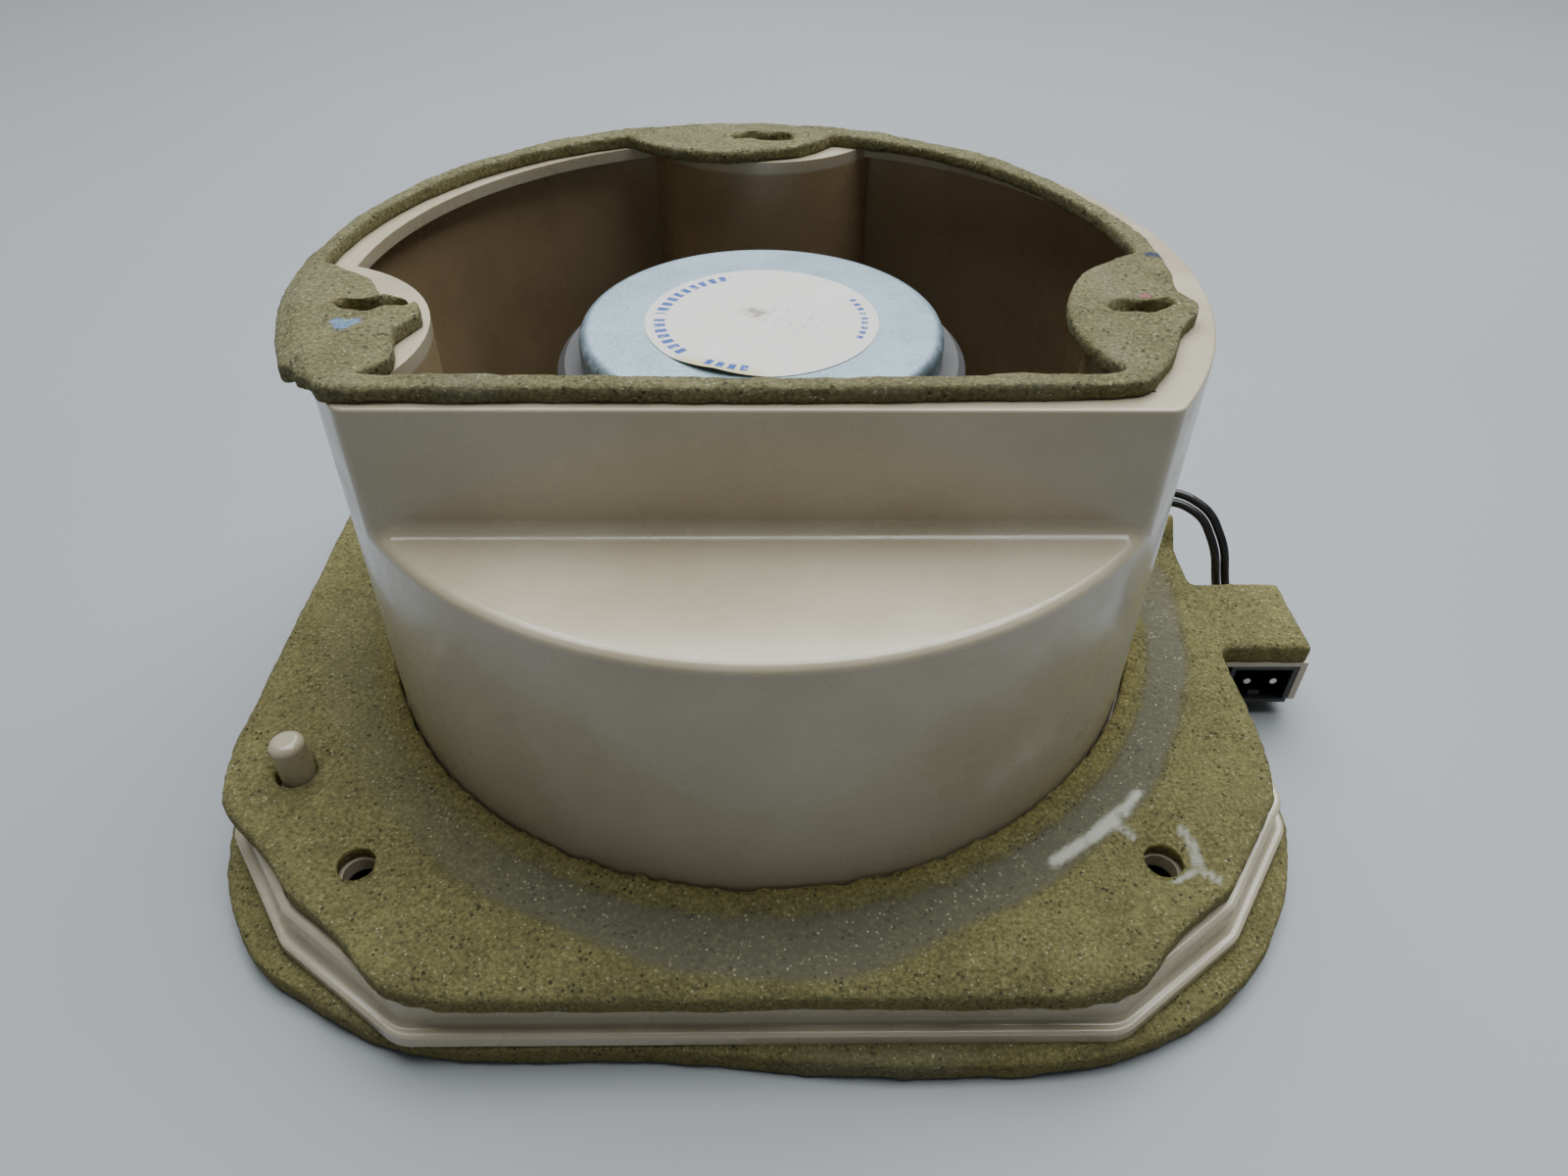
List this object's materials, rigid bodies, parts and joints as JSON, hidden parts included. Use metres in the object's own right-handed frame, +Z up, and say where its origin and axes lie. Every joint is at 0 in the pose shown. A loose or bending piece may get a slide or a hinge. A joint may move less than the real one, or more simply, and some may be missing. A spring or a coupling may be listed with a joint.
{
  "type": "car door loudspeaker in moulded housing",
  "caption": "Loudspeaker with a downward cone in a moulded drum housing with a square flange, foam gaskets, a side plug socket and a short two-core lead.",
  "frame": {"origin": "centre of the four flange holes, on the flange plate's top face", "axes": "+Z up out of the drum's open rim, against the sound; +X towards the plug socket's side; -Y towards the drum's flat side"},
  "size_m": [0.2308, 0.212, 0.1019],
  "materials": {
    "housing_plastic": "cream moulded plastic, satin gloss, slightly translucent",
    "gasket_foam": "olive open-cell foam, matt, pressed and worn in places",
    "basket_steel": "black stove-enamelled pressed steel",
    "plated_steel": "bright zinc-plated steel",
    "zinc_steel": "blue-grey zinc-plated steel, sparkling and slightly speckled",
    "ferrite": "dark grey sintered ferrite, matt",
    "label_paper": "off-white paper with plain blue marks, smudged",
    "coil_former": "thin aluminium tube",
    "coil_copper": "lacquered copper wire",
    "spider_cloth": "resin-stiffened woven cloth",
    "cone_paper": "black pressed paper pulp",
    "surround_foam": "soft black rubber",
    "ring_card": "dark card",
    "strip_board": "brown fibre board",
    "socket_plastic": "black moulded plastic",
    "pin_metal": "tinned contact pin",
    "lead_rubber": "black flexible insulation"
  },
  "bodies": {
    "root": {"housing": "housing_plastic", "front_gasket": "gasket_foam", "flange_gasket": "gasket_foam", "rim_gasket": "gasket_foam", "basket": "basket_steel", "basket_rivets": "plated_steel", "front_plate": "zinc_steel", "ferrite_magnet": "ferrite", "back_yoke": "zinc_steel", "yoke_label": "label_paper", "spider": "spider_cloth", "surround": "surround_foam", "surround_ring": "ring_card", "terminal_strip": "strip_board", "terminal_lugs": "plated_steel", "terminal_rivet": "plated_steel", "tinsel_leads": "coil_copper", "driver_screws": "plated_steel", "connector_shell": "socket_plastic", "connector_pins": "pin_metal", "lead_grommet": "lead_rubber", "lead_positive": "lead_rubber", "lead_negative": "lead_rubber"},
    "cone_assembly": {"cone": "cone_paper", "dust_cap": "cone_paper", "voice_coil_former": "coil_former", "voice_coil_winding": "coil_copper"}
  },
  "joints": [
    {"name": "cone_travel", "type": "slide", "parent": "root", "child": "cone_assembly", "axis": [0, 0, 1], "range_m": [-0.003, 0.003], "stiffness_N_per_m": 2000, "deforming": ["surround", "spider", "tinsel_leads"]}
  ]
}
